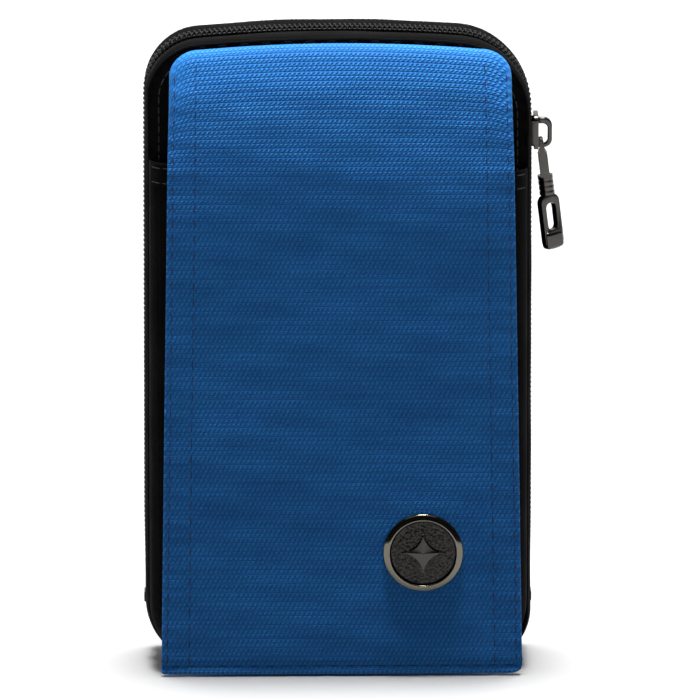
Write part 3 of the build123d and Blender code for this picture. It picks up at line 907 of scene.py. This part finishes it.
def build_spine():
    """The base strip, sunk a little along its middle where the front shell hinges, and its lining."""
    low, high = mm_box("base_strip")
    half = HALF_WIDTH - BOTTOM + 2
    x = np.linspace(-half, half, 60)
    y = np.linspace(low.y - 0.6, high.y + 0.4, 24)
    xx, yy = np.meshgrid(x, y)
    edge = ease((half - np.abs(xx)) / 5.0)
    z = 0.8 + (1 - edge) * 0.5 + 0.12 * ripple(xx, yy, 26.0, 3.0)
    z = z - 0.6 * (np.abs(yy) < 9) * edge * 0.6
    z = np.maximum(z, 0.12)
    points = np.stack([xx, yy, z], -1)
    strip = sheet_mesh("base_strip_cloth", points, -0.5, BLACK, uv=np.stack([xx, yy], -1))
    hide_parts("base_strip")
    across_base(strip)
    profile = [(0.55, -5.6), (0.3, -3.5), (0.25, 0.0), (0.3, 3.5), (0.55, 5.6)]
    rings = ring_rows(profile, 1, 0.1, 6.0)
    for name, start, stop in (("right", BASE_POINTS - 3, BASE_POINTS + 12),
                              ("left", OUTLINE_COUNT - BASE_POINTS - 11, OUTLINE_COUNT - BASE_POINTS + 4)):
        end = rings[:, start:stop].copy()
        keep = end[2, :, 2] < COIL_END - 3.4
        end = end[:, keep]
        tab = sheet_mesh(f"base_end_{name}", end, -0.9, BLACK, uv=strip_uv(end))
        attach(tab, "back_shell")
    low, high = mm_box("base_lining")
    xx, yy = np.meshgrid(np.linspace(low.x, high.x, 40), np.linspace(low.y, high.y, 14))
    z = low.z + 0.15 + 0.1 * ripple(xx, yy, 20.0, 5.0)
    points = np.stack([xx, yy, z], -1)
    lining = sheet_mesh("base_lining_cloth", points, 0.3, LINING, uv=points[..., :2].copy())
    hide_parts("base_lining")
    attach(lining, "back_shell")


def across_base(obj):
    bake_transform(obj)


# ---- the slip pocket under the flap ----

def outline_half_width(z, inset):
    """Half width of the outline at a height, rounded at the bottom corners."""
    drop = np.clip(BOTTOM - z, 0, BOTTOM - inset)
    reach = np.sqrt(np.maximum((BOTTOM - inset) ** 2 - drop ** 2, 0))
    return HALF_WIDTH - BOTTOM + reach


def pocket_point(side, z):
    side, z = np.broadcast_arrays(np.asarray(side, float), np.asarray(z, float))
    half = outline_half_width(z, 1.6)
    x = side * half
    gap = np.minimum(half - np.abs(x), (z - 1.6) * 1.2)
    full = POCKET_Y - PANEL_Y - 0.2
    rise = full * np.clip(1 - (1 - np.clip(gap / 6.0, 0, 1)) ** 2, 0, 1) ** 0.5
    rise = rise + 0.12 * ease(gap / 20) * ripple(x, z, 40.0, 7.0)
    hem = 0.25 * (z > POCKET_TOP - 6.0)
    z = z + (2.3 - 1.4 * x / half) * np.clip(z / POCKET_TOP, 0, 1) ** 6
    return np.stack([x, -(PANEL_Y + 0.2 + rise + hem * ease(gap / 4)), z], -1)


def build_pocket():
    t = np.linspace(-1, 1, 81)
    side = np.sign(t) * (1 - (1 - np.abs(t)) ** 1.5)
    z = np.concatenate([1.8 + 14 * np.linspace(0, 1, 16, endpoint=False) ** 1.5,
                        np.linspace(15.8, POCKET_TOP - 7, 60),
                        np.linspace(POCKET_TOP - 6.3, POCKET_TOP, 8)])
    points = pocket_point(side[None, :], z[:, None])
    uv = np.stack([points[..., 0], points[..., 2]], -1)
    cloth = sheet_mesh("front_pocket_cloth", points, 0.6, BLACK, uv=uv)
    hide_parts("front_pocket", "pocket_hem")
    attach(cloth, "front_shell")
    runs = []
    for height in (POCKET_TOP - 1.4, POCKET_TOP - 5.2):
        stations = np.linspace(-0.985, 0.985, 38)
        runs.append(np.stack([stations, np.full(len(stations), height)], 1))
    sewn = stitches("pocket_hem_stitching", pocket_point, runs, "front_shell", BLACK_THREAD, 0.16, 0.1)
    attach(sewn, "front_shell")


# ---- the badge ----

def lathe(name, profile, centre, material, turns=96):
    """A solid of revolution about the badge's axis, from (radius, y) pairs."""
    angle = np.linspace(0, 2 * math.pi, turns, endpoint=False)
    rows = [np.stack([centre.x + r * np.cos(angle), np.full(turns, y), centre.z + r * np.sin(angle)], -1)
            for r, y in profile]
    rows.append(rows[0])
    points = np.array(rows)
    obj = new_mesh(name, points[:-1].reshape(-1, 3), ring_faces(len(profile), turns), material)
    recalc(obj)
    return obj


def ring_faces(rows, turns):
    faces = []
    for r in range(rows):
        n = (r + 1) % rows
        for c in range(turns):
            d = (c + 1) % turns
            faces.append((r * turns + c, r * turns + d, n * turns + d, n * turns + c))
    return faces


def star_height(x, z):
    """A raised four-pointed star, the badge's plain ornament."""
    angle = np.arctan2(z, x)
    radius = np.hypot(x, z)
    reach = 6.6 / (np.abs(np.cos(angle)) ** 0.62 + np.abs(np.sin(angle)) ** 0.62) ** (1 / 0.62)
    return ease((reach - radius) / 0.4) * (0.45 + 0.55 * np.clip(1 - radius / reach, 0, 1))


def build_badge():
    centre = (BADGE_LOW + BADGE_HIGH) / 2
    outer = (BADGE_HIGH.x - BADGE_LOW.x) / 2
    face = BADGE_HIGH.y - 0.75
    inner = outer - 2.2
    cone = [(0.0, -0.05), (0.0, -0.35), (0.06, -0.52), (0.22, -0.68), (0.5, -0.86), (0.85, -1.07),
            (1.2, -1.25), (1.45, -1.36), (1.62, -1.4), (1.78, -1.36), (1.9, -1.22), (2.0, -0.9),
            (2.1, -0.3), (2.15, 0.4)]
    profile = [(outer - 0.5, face + 0.4)] + [(outer - a, face + b) for a, b in cone]
    bezel = lathe("badge_rim", profile, centre, BEZEL)
    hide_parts("badge_bezel")
    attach(bezel, "flap")
    rings, turns = 70, 160
    rng = np.random.default_rng(7)
    radius = np.linspace(0, inner - 0.05, rings)[1:]
    angle = np.linspace(0, 2 * math.pi, turns, endpoint=False)
    rr, aa = np.meshgrid(radius, angle, indexing="ij")
    x, z = rr * np.cos(aa), rr * np.sin(aa)
    seeds = rng.uniform(-inner, inner, (900, 2))
    dist = np.min(np.hypot(x[..., None] - seeds[:, 0], z[..., None] - seeds[:, 1]), axis=-1)
    pebble = 0.13 * np.sqrt(np.clip(1 - (dist / 0.42) ** 2, 0, 1))
    star = star_height(x, z)
    rim = ease((rr - (inner - 0.75)) / 0.4)
    height = 0.55 * (1 - (rr / inner) ** 2) * 0.4 + pebble * (1 - ease(3 * star)) * (1 - rim)
    height = height + 0.85 * star + 0.12 * rim
    base = face - 0.25
    shift_x = TAPER * (0.5 - centre.z / HEIGHT)
    points = np.stack([centre.x + x, base - height, centre.z + z], -1)
    verts = np.vstack([points.reshape(-1, 3), [[centre.x, base - 0.64, centre.z]]])
    middle = (rings - 1) * turns
    faces = grid_faces(rings - 1, turns, True) + [((c + 1) % turns, c, middle) for c in range(turns)]
    back = points.reshape(-1, 3)[-turns:].copy()
    back[:, 1] = face + 0.5
    shift = len(verts)
    verts = np.vstack([verts, back])
    last = (rings - 2) * turns
    faces += [(last + c, last + (c + 1) % turns, shift + (c + 1) % turns, shift + c) for c in range(turns)]
    faces.append(tuple(shift + c for c in range(turns)))
    disc = new_mesh("badge_face", verts, faces, DISC)
    recalc(disc)
    disc.data.materials.append(STAR)
    for polygon in disc.data.polygons:
        spot = polygon.center / MM
        if spot.y < base and star_height(spot.x - centre.x * (1 + shift_x), spot.z - centre.z) > 0.04:
            polygon.material_index = 1
    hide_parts("badge_disc")
    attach(disc, "flap")
    dress("badge_washer", STEEL)


# ---- belt loop, metal parts, small CAD pieces ----

def build_belt_loop():
    y0, y1 = LOOP_LOW.y, LOOP_HIGH.y
    z0, z1 = LOOP_LOW.z, LOOP_HIGH.z
    profile = [(y0 + 0.8, z0 + 0.4), (y0 + 1.5, z0 + 1.2), (y0 + 1.9, z0 + 5.0), (y0 + 4.6, z0 + 8.2),
               (y1 - 0.5, z0 + 13.0), (y1, z0 + 22.0), (y1 + 0.1, (z0 + z1) / 2), (y1, z1 - 22.0),
               (y1 - 0.5, z1 - 13.0),
               (y0 + 4.6, z1 - 8.2), (y0 + 1.9, z1 - 5.0), (y0 + 1.5, z1 - 1.2), (y0 + 0.8, z1 - 0.4)]
    path, total = curve_through(profile, 70)
    x = np.linspace(LOOP_LOW.x, LOOP_HIGH.x, 17)
    points = np.stack([np.broadcast_to(x[None], (70, 17)), np.broadcast_to(path[:, :1], (70, 17)),
                       np.broadcast_to(path[:, 1:], (70, 17))], -1)
    uv = np.stack([points[..., 0], np.broadcast_to(np.linspace(0, total, 70)[:, None], (70, 17))], -1)
    band = sheet_mesh("belt_loop_webbing", points, 1.3, WEBBING, uv=uv)
    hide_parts("belt_loop")
    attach(band, "back_shell")
    parts = []
    reach = LOOP_HIGH.x - 3
    for z in (z0 + 2.0, z0 + 4.6, z1 - 4.6, z1 - 2.0):
        y = float(np.interp(z, path[:, 1], path[:, 0])) + 0.08
        for k in range(12):
            a = -reach + 2 * reach * (k + 0.15) / 12
            b = -reach + 2 * reach * (k + 0.85) / 12
            parts.append(tube(np.array([[a, y, z], [(a + b) / 2, y + 0.1, z], [b, y, z]]), 0.2, 6))
    sewn = join_parts("belt_loop_stitching", parts, BLACK_THREAD)
    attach(sewn, "back_shell")


def build_metal():
    for node, width in (("slider_body", 0.3), ("slider_bridge", 0.4), ("pull_link", 0.2), ("pull_tab", 0.35),
                        ("swivel_pin", 0.12)):
        made = softened(node, f"{node}_plated", GUNMETAL, width)
    for node in ("zipper_top_stop_back", "zipper_top_stop_front", "zipper_end_stop"):
        dress(node, DARK_STEEL)


def build_small():
    for node in ("hook_patch", "loop_patch"):
        dress(node, PILE)
    for node in ("back_padding", "front_padding"):
        dress(node, FOAM)
    dress("flap_seam_tape", BLACK)


# ---- stage, light, camera ----

FLOOR_SIZE = 6000.0
WORLD_FRONT = 0.02         # strength of the light from all round in front
WORLD_BELOW = 0.2          # the same from below
WORLD_BACK = 0.8           # the same from behind
TOP_POWER = 6.8
TOP_SPREAD = 20            # degrees
TOP_PLACE = (0.0, 0.035, 1.0)
NEAR_POWER = 0.08
NEAR_PLACE = (0.0, -0.15, 0.36)
NEAR_AIM = (0, -0.02, 0.15)
NEAR_SIZE = (0.34, 0.10)


def build_stage():
    floor = Nodes("floor_white")
    vector, _ = floor.coords()
    shade = floor.mix(floor.noise(vector, 2.0), (0.49, 0.49, 0.49, 1), (0.51, 0.51, 0.51, 1))
    floor.finish(Base_Color=shade, Roughness=0.9, Specular_IOR_Level=0.1)
    size = FLOOR_SIZE
    verts = [(-size, -size, 0), (size, -size, 0), (size, size, 0), (-size, size, 0)]
    obj = new_mesh("floor", verts, [(0, 1, 2, 3)], floor.mat, smooth=False)
    # the floor throws no light back up, so the upright flap stays dark below its shoulder
    obj.visible_diffuse = False

    world = bpy.data.worlds.new("studio")
    world.use_nodes = True
    bpy.context.scene.world = world
    tree = world.node_tree
    back = tree.nodes["Background"]
    coords = tree.nodes.new("ShaderNodeTexCoord")
    split = tree.nodes.new("ShaderNodeSeparateXYZ")
    tree.links.new(coords.outputs["Generated"], split.inputs[0])

    def ramp(value, low, high, to_low, to_high):
        node = tree.nodes.new("ShaderNodeMapRange")
        tree.links.new(value, node.inputs[0])
        for socket, number in zip(node.inputs[1:5], (low, high, to_low, to_high)):
            if isinstance(number, bpy.types.NodeSocket):
                tree.links.new(number, socket)
            else:
                socket.default_value = number
        return node.outputs[0]

    front = ramp(split.outputs[2], -0.05, 0.05, WORLD_BELOW, WORLD_FRONT)
    tree.links.new(ramp(split.outputs[1], -0.15, 0.45, front, WORLD_BACK), back.inputs["Strength"])
    back.inputs["Color"].default_value = (1, 1, 1, 1)

    def lamp(name, kind, place, aim, power):
        data = bpy.data.lights.new(name, kind)
        data.energy = power
        made = bpy.data.objects.new(name, data)
        bpy.context.scene.collection.objects.link(made)
        made.location = place
        made.rotation_euler = (Vector(aim) - Vector(place)).to_track_quat("-Z", "Y").to_euler()
        return made

    top = lamp("top_light", "SUN", TOP_PLACE, (0, 0, 0), TOP_POWER)
    top.data.angle = math.radians(TOP_SPREAD)
    near = lamp("near_softbox", "AREA", NEAR_PLACE, NEAR_AIM, NEAR_POWER)
    near.data.shape = "RECTANGLE"
    near.data.size, near.data.size_y = NEAR_SIZE
    near.visible_camera = False


ELEVATION = 14.0
AZIMUTH = -1.0
DISTANCE = 2.6
FRAME_WIDTH = 0.2021       # the width of the view at the object, in metres
AIM = Vector((0.0036, 0.0, 0.0919))


def build_camera():
    data = bpy.data.cameras.new("camera")
    data.sensor_width = 36.0
    data.lens = data.sensor_width * DISTANCE / FRAME_WIDTH
    data.clip_start = 0.1
    data.clip_end = 30.0
    camera = bpy.data.objects.new("camera", data)
    bpy.context.scene.collection.objects.link(camera)
    el, az = math.radians(ELEVATION), math.radians(AZIMUTH)
    way = Vector((math.sin(az) * math.cos(el), -math.cos(az) * math.cos(el), math.sin(el)))
    camera.location = AIM + way * DISTANCE
    camera.rotation_euler = (-way).to_track_quat("-Z", "Y").to_euler()
    bpy.context.scene.camera = camera


build_camera()
build_stage()
for way in (1, -1):
    build_gusset(way)
    build_panel(way)
    build_edge_roll(way)
    build_tape(way)
    build_coil(way)
    build_lining(way)
build_spine()
build_pocket()
build_flap()
build_badge()
build_belt_loop()
build_metal()
build_small()
bpy.context.scene.view_settings.view_transform = "Standard"
